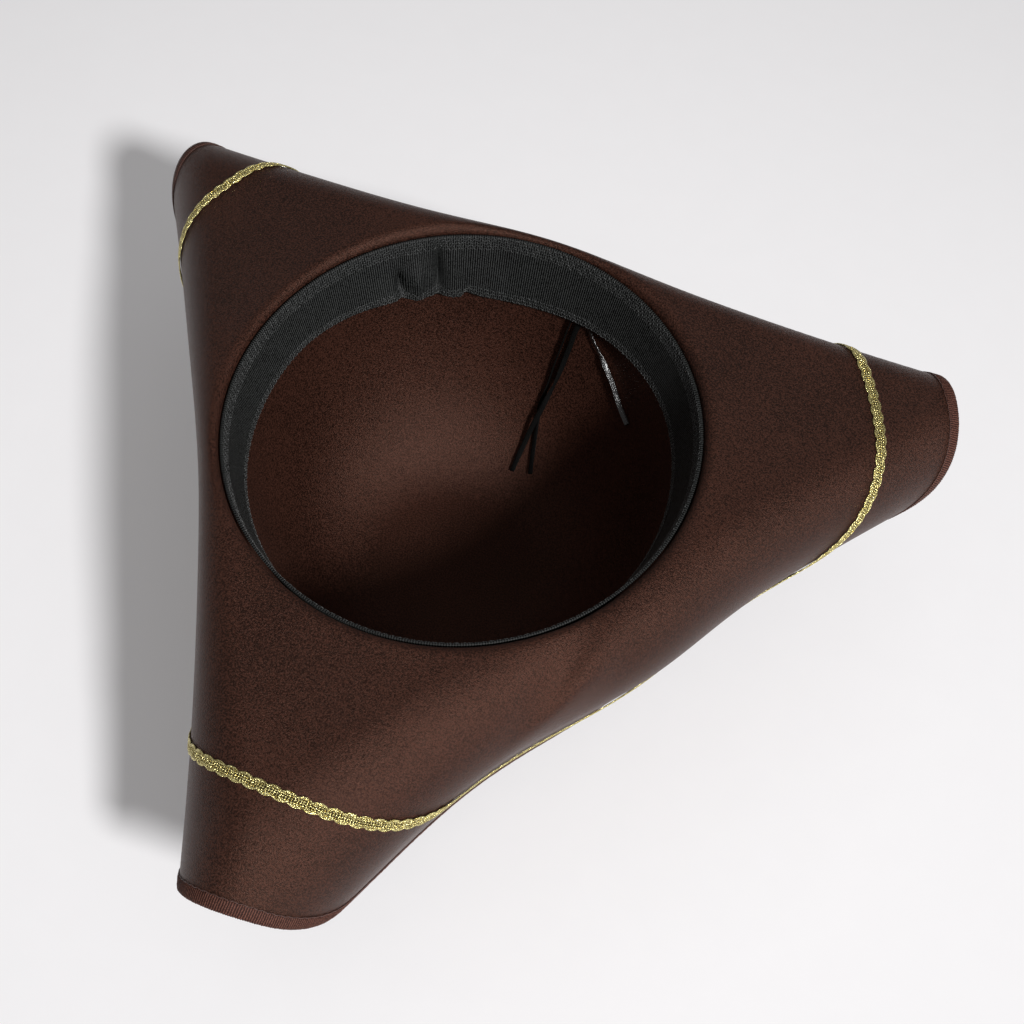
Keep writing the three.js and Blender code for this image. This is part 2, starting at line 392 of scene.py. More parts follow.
def mesh_object(name: str, points: Array, faces: Array | list) -> Piece:
    """A smooth-shaded mesh object at the origin.

    Args:
        name: The object's name.
        points: Its vertices.
        faces: The vertices of each face, anticlockwise seen from outside.

    Returns:
        The object, linked to the scene.
    """
    mesh = bpy.data.meshes.new(name)
    faces = faces.tolist() if isinstance(faces, Array) else faces
    mesh.from_pydata(points.reshape(-1, 3).tolist(), [], faces)
    mesh.validate()
    mesh.polygons.foreach_set("use_smooth", [True] * len(mesh.polygons))
    thing = bpy.data.objects.new(name, mesh)
    bpy.context.scene.collection.objects.link(thing)
    return thing


def tube_faces(rings: int, columns: int, closed: bool) -> Array:
    """Faces between rings of points, each ring a full turn.

    Args:
        rings: Number of rings.
        columns: Points in each ring.
        closed: Whether the last ring joins the first.

    Returns:
        Four-sided faces as an array of vertex numbers.
    """
    ring = np.arange(rings if closed else rings - 1)[:, None]
    column = np.arange(columns)[None, :]
    here, there = ring * columns, ((ring + 1) % rings) * columns
    after = (column + 1) % columns
    return np.stack([here + column, there + column, there + after, here + after], -1).reshape(-1, 4)


def keep_attributes(mesh: bpy.types.Mesh, values: dict[str, Array]) -> None:
    """Stores numbers or vectors for the vertices of a mesh.

    Args:
        mesh: The mesh.
        values: For each attribute's name, its value at each vertex.
    """
    for name, value in values.items():
        kind, key = ("FLOAT_VECTOR", "vector") if value.ndim == 2 else ("FLOAT", "value")
        attribute = mesh.attributes.new(name, kind, "POINT")
        attribute.data.foreach_set(key, value.astype(np.float32).ravel())


def keep_uv(mesh: bpy.types.Mesh, along: Array, across: Array, wrap: float = 0.0) -> None:
    """Stores a UV map from two numbers for each vertex.

    Args:
        mesh: The mesh.
        along: The first coordinate, which may jump back where a piece closes on itself.
        across: The second coordinate.
        wrap: The length of the first coordinate's full turn, or 0 if it doesn't close.
    """
    corners = np.zeros(len(mesh.loops), np.int64)
    mesh.loops.foreach_get("vertex_index", corners)
    u, v = along[corners], across[corners]
    if wrap:
        starts, counts = np.zeros((2, len(mesh.polygons)), np.int64)
        mesh.polygons.foreach_get("loop_start", starts)
        mesh.polygons.foreach_get("loop_total", counts)
        top = np.repeat(np.maximum.reduceat(u, starts), counts)
        u = np.where(top - u > wrap / 2, u + wrap, u)
    layer = mesh.uv_layers.new(name="UVMap")
    layer.data.foreach_set("uv", np.stack([u, v], -1).astype(np.float32).ravel())


def dress(piece: Piece, node: str = "") -> Piece:
    """Rides a piece on the hat and hides the CAD node that it stands for.

    Args:
        piece: The piece.
        node: The CAD node that it stands for, if any.

    Returns:
        The same piece.
    """
    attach(piece, "root")
    if node:
        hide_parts(node)
    return piece


# --- node trees ---


class Nodes:
    """A node tree that is built in code."""

    def __init__(self, tree: bpy.types.NodeTree) -> None:
        """Keeps the tree that the nodes go into.

        Args:
            tree: The tree.
        """
        self.tree = tree

    def put(self, node: Node, inputs: dict) -> None:
        """Links or sets inputs of a node.

        Args:
            node: The node.
            inputs: What goes in, by socket name or number: a socket to link or a value.
        """
        for key, value in inputs.items():
            if isinstance(value, Socket):
                self.tree.links.new(value, node.inputs[key])
            else:
                node.inputs[key].default_value = value

    def node(self, kind: str, inputs: dict, **settings: object) -> Node:
        """Adds a node.

        Args:
            kind: The node's type.
            inputs: What goes in, as for put.
            **settings: The node's own properties.

        Returns:
            The node.
        """
        made = self.tree.nodes.new(kind)
        for key, value in settings.items():
            setattr(made, key, value)
        self.put(made, inputs)
        return made

    def math(self, operation: str, *values: object) -> Socket:
        """A math node's result on sockets or numbers."""
        return self.node("ShaderNodeMath", dict(enumerate(values)), operation=operation).outputs[0]

    def scaled(self, vector: Socket, factor: object) -> Socket:
        """A vector times a number."""
        return self.node("ShaderNodeVectorMath", {0: vector, "Scale": factor}, operation="SCALE").outputs[0]

    def noise(self, scale: float, detail: float, **where: Socket) -> Socket:
        """Noise between 0 and 1, with its Vector where one is given."""
        return self.node("ShaderNodeTexNoise", {"Scale": scale, "Detail": detail, **where}).outputs[0]


class Tree(Nodes):
    """A Geometry Nodes tree with named inputs."""

    def __init__(self, name: str) -> None:
        """Makes an empty tree.

        Args:
            name: The tree's name.
        """
        super().__init__(bpy.data.node_groups.new(name, "GeometryNodeTree"))
        for way in ("INPUT", "OUTPUT"):
            self.tree.interface.new_socket("Geometry", in_out=way, socket_type="NodeSocketGeometry")
        self.start = self.tree.nodes.new("NodeGroupInput")
        self.end = self.tree.nodes.new("NodeGroupOutput")
        self.identifiers: dict[str, str] = {}

    def sizes(self, *names: str) -> list[Socket]:
        """Adds named inputs.

        Args:
            *names: Their names.

        Returns:
            Their sockets in the tree.
        """
        for name in names:
            entry = self.tree.interface.new_socket(name, in_out="INPUT", socket_type="NodeSocketFloat")
            self.identifiers[name] = entry.identifier
        return [self.start.outputs[name] for name in names]

    def named(self, name: str, kind: str = "FLOAT") -> Socket:
        """Reads an attribute of the points."""
        return self.node("GeometryNodeInputNamedAttribute", {"Name": name}, data_type=kind).outputs[0]

    def finish(self, geometry: Socket, material: Material) -> None:
        """Ends the tree: instances made real, smooth faces, one material.

        Args:
            geometry: What the tree made.
            material: Its material.
        """
        steps = {"RealizeInstances": {}, "SetShadeSmooth": {}, "SetMaterial": {"Material": material}}
        for kind, more in steps.items():
            geometry = self.node("GeometryNode" + kind, {"Geometry": geometry, **more}).outputs[0]
        self.tree.links.new(geometry, self.end.inputs[0])

    def apply(self, thing: Piece, sizes: dict[str, float]) -> None:
        """Runs the tree on an object and keeps the result as its plain mesh.

        Args:
            thing: The object that the tree starts from.
            sizes: A value for each named input.
        """
        modifier = thing.modifiers.new(self.tree.name, "NODES")
        modifier.node_group = self.tree
        for name, value in sizes.items():
            modifier[self.identifiers[name]] = value
        graph = bpy.context.evaluated_depsgraph_get()
        result = bpy.data.meshes.new_from_object(thing.evaluated_get(graph))
        thing.modifiers.clear()
        thing.data = result
        result.name = thing.name


def rib_tree(material: Material, roundness: float = 0.7, grain: float = 900.0) -> Tree:
    """A tree that raises round ribs on a smooth band, by its attributes run, across and mask.

    Args:
        material: The band's material.
        roundness: Power of the ribs' sine.
        grain: Scale of the noise that makes them uneven.

    Returns:
        The tree.
    """
    tree = Tree("Ribs")
    pitch, height, slant, spread = tree.sizes("Rib pitch", "Rib height", "Slant", "Unevenness")
    phase = tree.math("MULTIPLY", tree.math("DIVIDE", tree.named("run"), pitch), math.pi)
    phase = tree.math("ADD", phase, tree.math("MULTIPLY", tree.named("across"), slant))
    rib = tree.math("POWER", tree.math("ABSOLUTE", tree.math("SINE", phase)), roundness)
    factor = tree.math("MULTIPLY_ADD", tree.math("SUBTRACT", tree.noise(grain, 2.0), 0.5), spread, 1.0)
    rise = tree.math("MULTIPLY", tree.math("MULTIPLY", rib, factor), height)
    rise = tree.math("MULTIPLY", rise, tree.named("mask"))
    offset = tree.scaled(tree.node("GeometryNodeInputNormal", {}).outputs[0], rise)
    raised = tree.node("GeometryNodeSetPosition", {"Geometry": tree.start.outputs[0], "Offset": offset})
    tree.finish(raised.outputs[0], material)
    return tree


def stitch_tree(material: Material, seed: int) -> Tree:
    """A tree that lays a rounded stitch on each point, by its attributes forward and off.

    Args:
        material: The thread.
        seed: Seed of the stitches' unevenness.

    Returns:
        The tree.
    """
    tree = Tree("Stitches")
    names = ("Stitch length", "Stitch width", "Stitch height", "Unevenness")
    length, width, height, spread = tree.sizes(*names)
    ball = tree.node("GeometryNodeMeshUVSphere", {"Segments": 6, "Rings": 4, "Radius": 0.5}).outputs[0]
    shape = tree.node("ShaderNodeCombineXYZ", {0: length, 1: width, 2: height}).outputs[0]
    stitch = tree.node("GeometryNodeTransform", {"Geometry": ball, "Scale": shape}).outputs[0]
    axes = {0: tree.named("forward", "FLOAT_VECTOR"), 1: tree.named("off", "FLOAT_VECTOR")}
    turn = tree.node("FunctionNodeAxesToRotation", axes, primary_axis="X", secondary_axis="Z").outputs[0]
    points = tree.node("GeometryNodeMeshToPoints", {"Mesh": tree.start.outputs[0]}).outputs[0]
    span = {2: tree.math("SUBTRACT", 1.0, spread), 3: tree.math("ADD", 1.0, spread), "Seed": seed}
    uneven = tree.node("FunctionNodeRandomValue", span, data_type="FLOAT").outputs[1]
    laid = {"Points": points, "Instance": stitch, "Rotation": turn, "Scale": uneven}
    tree.finish(tree.node("GeometryNodeInstanceOnPoints", laid).outputs[0], material)
    return tree


def scallop_tree(
    material: Material,
    shares: Sequence[float] = (1.0, 0.75, 0.5, 0.25),
    roundness: float = 0.7,
    heap: float = 1.2,
) -> Tree:
    """A tree that lays fine cords along both sides of a line, in arcs one inside another.

    Args:
        material: The cords' material.
        shares: The depth of each arc, as a share of the deepest.
        roundness: Power of the arcs' sine.
        heap: How high the inner arcs lie over the outer one, in cord radii.

    Returns:
        The tree.
    """
    tree = Tree("Scallops")
    period, depth, core, radius = tree.sizes("Scallop length", "Scallop depth", "Core width", "Cord radius")
    line = tree.node("GeometryNodeMeshToCurve", {"Mesh": tree.start.outputs[0]}).outputs[0]
    side, off = (tree.named(name, "FLOAT_VECTOR") for name in ("side", "off"))
    phase = tree.math("MULTIPLY", tree.math("DIVIDE", tree.named("run"), period), math.pi)
    section = {"Resolution": 5, "Radius": radius}
    profile = tree.node("GeometryNodeCurvePrimitiveCircle", section, mode="RADIUS").outputs[0]
    join = tree.node("GeometryNodeJoinGeometry", {})
    for sign, shift in ((1.0, 0.0), (-1.0, math.pi / 2)):
        wave = tree.math("ABSOLUTE", tree.math("SINE", tree.math("ADD", phase, shift)))
        arc = tree.math("POWER", wave, roundness)
        for share in shares:
            reach = tree.math("MULTIPLY", tree.math("MULTIPLY", arc, depth), share)
            reach = tree.math("ADD", reach, tree.math("MULTIPLY", core, 0.5))
            across = tree.scaled(side, tree.math("MULTIPLY", reach, sign))
            lift = tree.scaled(off, tree.math("MULTIPLY", radius, heap - heap * share))
            offset = tree.node("ShaderNodeVectorMath", {0: across, 1: lift}, operation="ADD").outputs[0]
            wound = tree.node("GeometryNodeSetPosition", {"Geometry": line, "Offset": offset}).outputs[0]
            cord = tree.node("GeometryNodeCurveToMesh", {"Curve": wound, "Profile Curve": profile})
            tree.put(join, {0: cord.outputs[0]})
    tree.finish(join.outputs[0], material)
    return tree


def ribbed_band(
    name: str, rings: Array, across: Array, mask: list[float], ribs: int, sizes: dict, material: Material
) -> Piece:
    """A band closed on itself with ribs across it, and a UV map that counts them.

    Args:
        name: The piece's name.
        rings: Points of the band's section, one ring round the hat for each.
        across: For each ring, its place in the section.
        mask: For each ring, how far the ribs rise there, from 0 to 1.
        ribs: Number of ribs.
        sizes: The rib tree's height, slant and unevenness.
        material: The band's material.

    Returns:
        The piece.
    """
    count, columns = rings.shape[:2]
    piece = mesh_object(name, rings, tube_faces(count, columns, True))
    run, across = np.tile(np.arange(columns) / columns * ribs, count), np.repeat(across, columns)
    keep_attributes(piece.data, {"run": run, "across": across, "mask": np.repeat(mask, columns)})
    rib_tree(material).apply(piece, {"Rib pitch": 1.0, **sizes})
    keep_uv(piece.data, run, across, ribs)
    return piece


@dataclass(frozen=True)
class Stitch:
    """A stitch's size, how far its size varies, and the seed for that."""

    length: float
    width: float
    height: float
    unevenness: float
    seed: int

    def sew(self, name: str, rows: list[tuple[Array, Array, Array]], slot: Slot, thread: Material) -> Piece:
        """Lays one stitch on each point of some rows.

        Args:
            name: The piece's name.
            rows: For each row, its points, the stitches' directions, and those off the ground.
            slot: Not used.
            thread: The thread.

        Returns:
            The piece.
        """
        points, forward, off = (np.concatenate(column) for column in zip(*rows))
        piece = mesh_object(name, points, [])
        keep_attributes(piece.data, {"forward": forward, "off": off})
        sizes = {"Stitch length": self.length, "Stitch width": self.width, "Stitch height": self.height}
        stitch_tree(thread, self.seed).apply(piece, {**sizes, "Unevenness": self.unevenness})
        return dress(piece)


# --- finishes ---


class Shader(Nodes):
    """A material's node tree, with its Principled shader."""

    def __init__(self, name: str) -> None:
        """Makes a material with a Principled shader.

        Args:
            name: The material's name.
        """
        self.material = bpy.data.materials.new(name)
        self.material.use_nodes = True
        super().__init__(self.material.node_tree)
        self.surface = self.tree.nodes["Principled BSDF"]

    def place(self, name: str = "Object") -> Socket:
        """The piece's own coordinates: Object or UV."""
        return self.node("ShaderNodeTexCoord", {}).outputs[name]

    def grain(self, scale: float, detail: float) -> Socket:
        """Noise between 0 and 1 on object coordinates."""
        return self.noise(scale, detail, Vector=self.place())

    def ramp(self, value: Socket, dark: Colour, light: Colour, stops: tuple[float, float]) -> Socket:
        """A colour that goes from dark to light between two stops along a value."""
        made = self.node("ShaderNodeValToRGB", {0: value})
        for element, stop, colour in zip(made.color_ramp.elements, stops, (dark, light)):
            element.position, element.color = stop, (*colour, 1.0)
        return made.outputs[0]


@dataclass(frozen=True)
class Finish:
    """A finish whose colour, roughness and fine relief follow a pattern."""

    name: str = ""
    dark: Colour = (0.0, 0.0, 0.0)
    light: Colour = (1.0, 1.0, 1.0)
    scale: float = 2400.0
    detail: float = 2.0
    stops: tuple[float, float] = (0.35, 0.65)
    smoothest: float = 0.5
    roughness_range: float = 0.2
    relief: float = 0.00012
    relief_strength: float = 0.6

    def pattern(self, shader: Shader) -> tuple[Socket, Socket, Socket]:
        """What the colour, the roughness and the relief follow: here one noise."""
        noise = shader.grain(self.scale, self.detail)
        return noise, noise, noise

    def sockets(self) -> dict[str, object]:
        """The shader's other sockets, each the same all over the surface."""
        return {}

    def build(self) -> Material:
        """Builds the material and returns it."""
        shader = Shader(self.name)
        tone, gloss, height = self.pattern(shader)
        bump = {"Height": height, "Distance": self.relief, "Strength": self.relief_strength}
        shader.put(shader.surface, self.sockets() | {
            "Base Color": shader.ramp(tone, self.dark, self.light, self.stops),
            "Roughness": shader.math("MULTIPLY_ADD", gloss, self.roughness_range, self.smoothest),
            "Normal": shader.node("ShaderNodeBump", bump).outputs[0],
        })
        return shader.material


@dataclass(frozen=True)
class FeltFinish(Finish):
    """Short brushed felt: brown with fine grain, slightly mottled, with a soft sheen."""

    name: str = "brown_felt"
    dark: Colour = (0.0062, 0.0023, 0.0015)
    light: Colour = (0.0470, 0.0178, 0.0116)
    scale: float = 1500.0
    detail: float = 4.0
    stops: tuple[float, float] = (0.41, 0.59)
    smoothest: float = 0.3
    relief: float = 0.0004
    relief_strength: float = 0.8
    mottle_scale: float = 22.0
    mottle: float = 0.15
    nap_scale: float = 1.7

    def pattern(self, shader: Shader) -> tuple[Socket, Socket, Socket]:
        """Fine grain over broad mottling for the colour, and finer nap for the relief."""
        fine, broad = shader.grain(self.scale, self.detail), shader.grain(self.mottle_scale, 2.0)
        tone = shader.math("MULTIPLY", fine, 1 - self.mottle)
        tone = shader.math("MULTIPLY_ADD", broad, self.mottle, tone)
        return tone, fine, shader.grain(self.nap_scale * self.scale, 3.0)

    def sockets(self) -> dict[str, object]:
        """A warm low gloss and a little sheen."""
        return {
            "Specular IOR Level": 0.4,
            "Specular Tint": (1.0, 0.56, 0.43, 1.0),
            "Sheen Weight": 0.02,
            "Sheen Roughness": 0.45,
            "Sheen Tint": (0.75, 0.42, 0.33, 1.0),
        }


@dataclass(frozen=True)
class GoldFinish(Finish):
    """Bright metallic gold thread, with a fine glitter."""

    name: str = "gold_thread"
    dark: Colour = (0.25, 0.17, 0.024)
    light: Colour = (1.0, 0.91, 0.44)
    scale: float = 2300.0
    detail: float = 3.0
    stops: tuple[float, float] = (0.42, 0.57)
    smoothest: float = 0.12
    roughness_range: float = 0.25
    relief: float = 0.0004
    relief_strength: float = 1.0

    def sockets(self) -> dict[str, object]:
        """Nearly all metal."""
        return {"Metallic": 0.85}


@dataclass(frozen=True)
class ThreadFinish(Finish):
    """Matt sewing thread."""

    scale: float = 2600.0

    def sockets(self) -> dict[str, object]:
        """A little sheen."""
        return {"Sheen Weight": 0.2, "Sheen Roughness": 0.4}


@dataclass(frozen=True)
class RibbedFinish(Finish):
    """Thread over cords, its colour painted lighter on the mesh's ribs as a painted highlight and darker
    between them as painted shade, as its UV map counts them.
    """

    stops: tuple[float, float] = (0.58, 1.0)
    smoothest: float = 0.35
    roughness_range: float = 0.22
    relief: float = 0.00014
    lean: float = 0.0
    mottle: float = 1.5

    def pattern(self, shader: Shader) -> tuple[Socket, Socket, Socket]:
        """The ribs as painted highlight and shade, made uneven by noise, for the colour, and the noise for
        the rest.
        """
        warp = shader.grain(self.scale, self.detail)
        place = shader.node("ShaderNodeSeparateXYZ", {0: shader.place("UV")})
        count = shader.math("MULTIPLY_ADD", place.outputs[1], self.lean, place.outputs[0])
        # painted highlight on the top of each rib and painted shade between the ribs
        painted_rib_shading = shader.math("ABSOLUTE", shader.math("SINE", shader.math("MULTIPLY", count, math.pi)))
        tone = shader.math("MULTIPLY_ADD", shader.math("SUBTRACT", warp, 0.5), self.mottle, painted_rib_shading)
        return tone, warp, warp

    def sockets(self) -> dict[str, object]:
        """Little gloss."""
        return {"Specular IOR Level": 0.12}


@dataclass(frozen=True)
class SatinFinish(Finish):
    """Black satin: long fine floats along the ribbon, and a tight glossy highlight."""

    name: str = "black_satin"
    dark: Colour = (0.002, 0.002, 0.002)
    light: Colour = (0.014, 0.0135, 0.013)
    stops: tuple[float, float] = (0.35, 0.7)
    smoothest: float = 0.14
    roughness_range: float = 0.25
    relief: float = 0.00022
    relief_strength: float = 0.9
    weave: tuple[float, float, float] = (900.0, 5200.0, 1.0)
    specular: float = 1.0
    coat: float = 0.5

    def pattern(self, shader: Shader) -> tuple[Socket, Socket, Socket]:
        """Noise drawn out along the ribbon."""
        where = shader.node("ShaderNodeMapping", {"Vector": shader.place("UV"), "Scale": self.weave})
        floats = shader.noise(1.0, 3.0, Vector=where.outputs[0])
        return floats, floats, floats

    def sockets(self) -> dict[str, object]:
        """The gloss of the satin."""
        return {"Specular IOR Level": self.specular, "Coat Weight": self.coat, "Coat Roughness": 0.16}


@dataclass(frozen=True)
class StudioFinish:
    """Plain pale studio paper: its colour is painted shade that dims away from the hat, and it glows
    faintly as painted fill light that lifts the hat's cast shadow.
    """

    colour: Colour = (0.80, 0.79, 0.80)
    painted_fill_glow: float = 0.16
    fade_from: float = 0.2
    fade_to: float = 1.2
    fade_share: float = 0.5

    def build(self) -> Material:
        """Builds the material and returns it."""
        shader = Shader("studio_paper")
        far = shader.node("ShaderNodeVectorMath", {0: shader.place()}, operation="LENGTH").outputs["Value"]
        painted_falloff = {0: far, 1: self.fade_from, 2: self.fade_to, 3: 1.0, 4: self.fade_share}
        painted_falloff = shader.node("ShaderNodeMapRange", painted_falloff).outputs[0]
        darker = tuple(0.99 * value for value in self.colour)
        paper = shader.ramp(shader.grain(60.0, 2.0), darker, self.colour, (0.3, 0.7))
        shader.put(shader.surface, {
            # the base colour's dimming away from the hat is painted shade
            "Base Color": shader.scaled(paper, painted_falloff),
            "Roughness": 0.9,
            # the emission is painted fill light, strongest near the hat, that lifts its cast shadow
            "Emission Color": (1.0, 0.985, 0.99, 1.0),
            "Emission Strength": shader.math("MULTIPLY", painted_falloff, self.painted_fill_glow),
        })
        return shader.material


# --- the camera, the light and the floor ---


@dataclass(frozen=True)
class Studio:
    """The camera at the photograph's angle, a pale floor and soft light."""

    aim: tuple[float, float, float] = (0.0, 0.0, 0.107)
    distance: float = 0.7563
    elevation: float = 54.247
    heading: float = 111.575
    roll: float = 4.32
    focal_pixels: float = 2036.3
    middle: tuple[float, float] = (463.74, 420.09)
    picture: int = 1024
    floor_reach: float = 4.0
    key_heading: float = 325.0
    key_elevation: float = 44.0
    key_distance: float = 4.0
    key_size: float = 0.6
    key_power: float = 158.0
    ambient: float = 0.23

    def camera(self) -> None:
        """Makes the camera and sets it as the scene's."""
        tip, turn = math.radians(90 - self.elevation), math.radians(self.heading)
        view = Vector((math.sin(tip) * math.cos(turn), math.sin(tip) * math.sin(turn), -math.cos(tip)))
        level = Vector((math.sin(turn), -math.cos(turn), 0.0))
        upright = Vector((math.cos(tip) * math.cos(turn), math.cos(tip) * math.sin(turn), math.sin(tip)))
        roll = math.radians(self.roll)
        right = level * math.cos(roll) + upright * math.sin(roll)
        up = upright * math.cos(roll) - level * math.sin(roll)
        data = bpy.data.cameras.new("camera")
        data.sensor_fit = "HORIZONTAL"
        data.sensor_width = 36.0
        data.lens = self.focal_pixels / self.picture * data.sensor_width
        data.shift_x = 0.5 - self.middle[0] / self.picture
        data.shift_y = self.middle[1] / self.picture - 0.5
        data.clip_start, data.clip_end = 0.05, 20.0
        camera = bpy.data.objects.new("camera", data)
        axes = Matrix((right, up, -view)).transposed().to_4x4()
        camera.matrix_world = Matrix.Translation(Vector(self.aim) - view * self.distance) @ axes
        bpy.context.scene.collection.objects.link(camera)
        bpy.context.scene.camera = camera

    def floor(self) -> None:
        """Makes the floor."""
        far = self.floor_reach
        corners = np.array([(-far, -far, 0), (far, -far, 0), (far, far, 0), (-far, far, 0)], float)
        floor = mesh_object("studio_floor", corners, [(0, 1, 2, 3)])
        floor.data.materials.append(StudioFinish().build())

    def lights(self) -> None:
        """Makes the key light and the even light around."""
        turn, tip = math.radians(self.key_heading), math.radians(self.key_elevation)
        towards = Vector((math.cos(turn) * math.cos(tip), math.sin(turn) * math.cos(tip), math.sin(tip)))
        data = bpy.data.lights.new("key", "AREA")
        data.shape, data.size, data.energy = "DISK", self.key_size, self.key_power
        key = bpy.data.objects.new("key", data)
        key.location = towards * self.key_distance
        key.rotation_euler = towards.to_track_quat("Z", "Y").to_euler()
        bpy.context.scene.collection.objects.link(key)
        world = bpy.data.worlds.new("studio")
        world.use_nodes = True
        background = world.node_tree.nodes["Background"]
        background.inputs["Color"].default_value = (1.0, 0.985, 0.99, 1.0)
        background.inputs["Strength"].default_value = self.ambient
        bpy.context.scene.world = world
        bpy.context.scene.view_settings.view_transform = "Standard"


# --- the pieces ---


@dataclass(frozen=True)
class Tie:
    """A narrow satin ribbon that hangs from behind the sweatband down the crown's inner wall.

    Its route is in millimetres, its twist in degrees at shares of its length, and its outline in
    halves of its width and thickness.
    """

    node: str
    route: tuple[tuple[float, float, float], ...]
    twist: tuple[tuple[float, float], ...]
    glossy: bool = False
    width: float = 0.0022
    thickness: float = 0.0003
    steps: int = 90
    outline: tuple[tuple[float, float], ...] = (
        (-1, 0), (-0.9, 1), (-0.3, 1.25), (0.3, 1.25), (0.9, 1),
        (1, 0), (0.9, -1), (0.3, -0.75), (-0.3, -0.75), (-0.9, -1),
    )

    def line(self) -> Array:
        """The ribbon's middle line, as a smooth curve through its route's points.

        Returns:
            The points of the line.
        """
        stops = np.array(self.route) / 1000
        padded = np.vstack([2 * stops[0] - stops[1], stops, 2 * stops[-1] - stops[-2]])
        place = np.linspace(0, len(stops) - 1, self.steps)
        first = np.minimum(place.astype(int), len(stops) - 2)
        t = (place - first)[:, None]
        a, b, c, d = (padded[first + k] for k in range(4))
        square, cube = 2 * a - 5 * b + 4 * c - d, 3 * b - a - 3 * c + d
        return 0.5 * (2 * b + (c - a) * t + square * t**2 + cube * t**3)

    def build(self, material: Material) -> Piece:
        """Args:
            material: The satin.

        Returns:
            The piece.
        """
        middle = self.line()
        ahead = unit(np.gradient(middle, axis=0))
        inwards = -middle * np.array([1.0, 1.0, 0.0])
        inwards = unit(inwards - ahead * np.sum(inwards * ahead, -1, keepdims=True))
        share = np.linspace(0, 1, self.steps)
        turn = np.radians(np.interp(share, *zip(*self.twist)))[:, None]
        flat = np.cross(ahead, inwards) * np.cos(turn) + inwards * np.sin(turn)
        face = np.cross(flat, ahead)
        rings = [
            middle + flat * (u * self.width / 2) + face * (v * self.thickness / 2) for u, v in self.outline
        ]
        columns = len(self.outline)
        faces = tube_faces(self.steps, columns, False).tolist()
        faces += [list(range(columns)), [(self.steps - 1) * columns + k for k in reversed(range(columns))]]
        piece = mesh_object(self.node + "_ribbon", np.stack(rings, 1), faces)
        piece.data.flip_normals()
        length = float(np.linalg.norm(np.diff(middle, axis=0), axis=1).sum())
        across = np.tile([u * self.width for u, _ in self.outline], self.steps)
        keep_uv(piece.data, np.repeat(share * length, columns), across)
        piece.data.materials.append(material)
        dress(piece, self.node)
        return piece


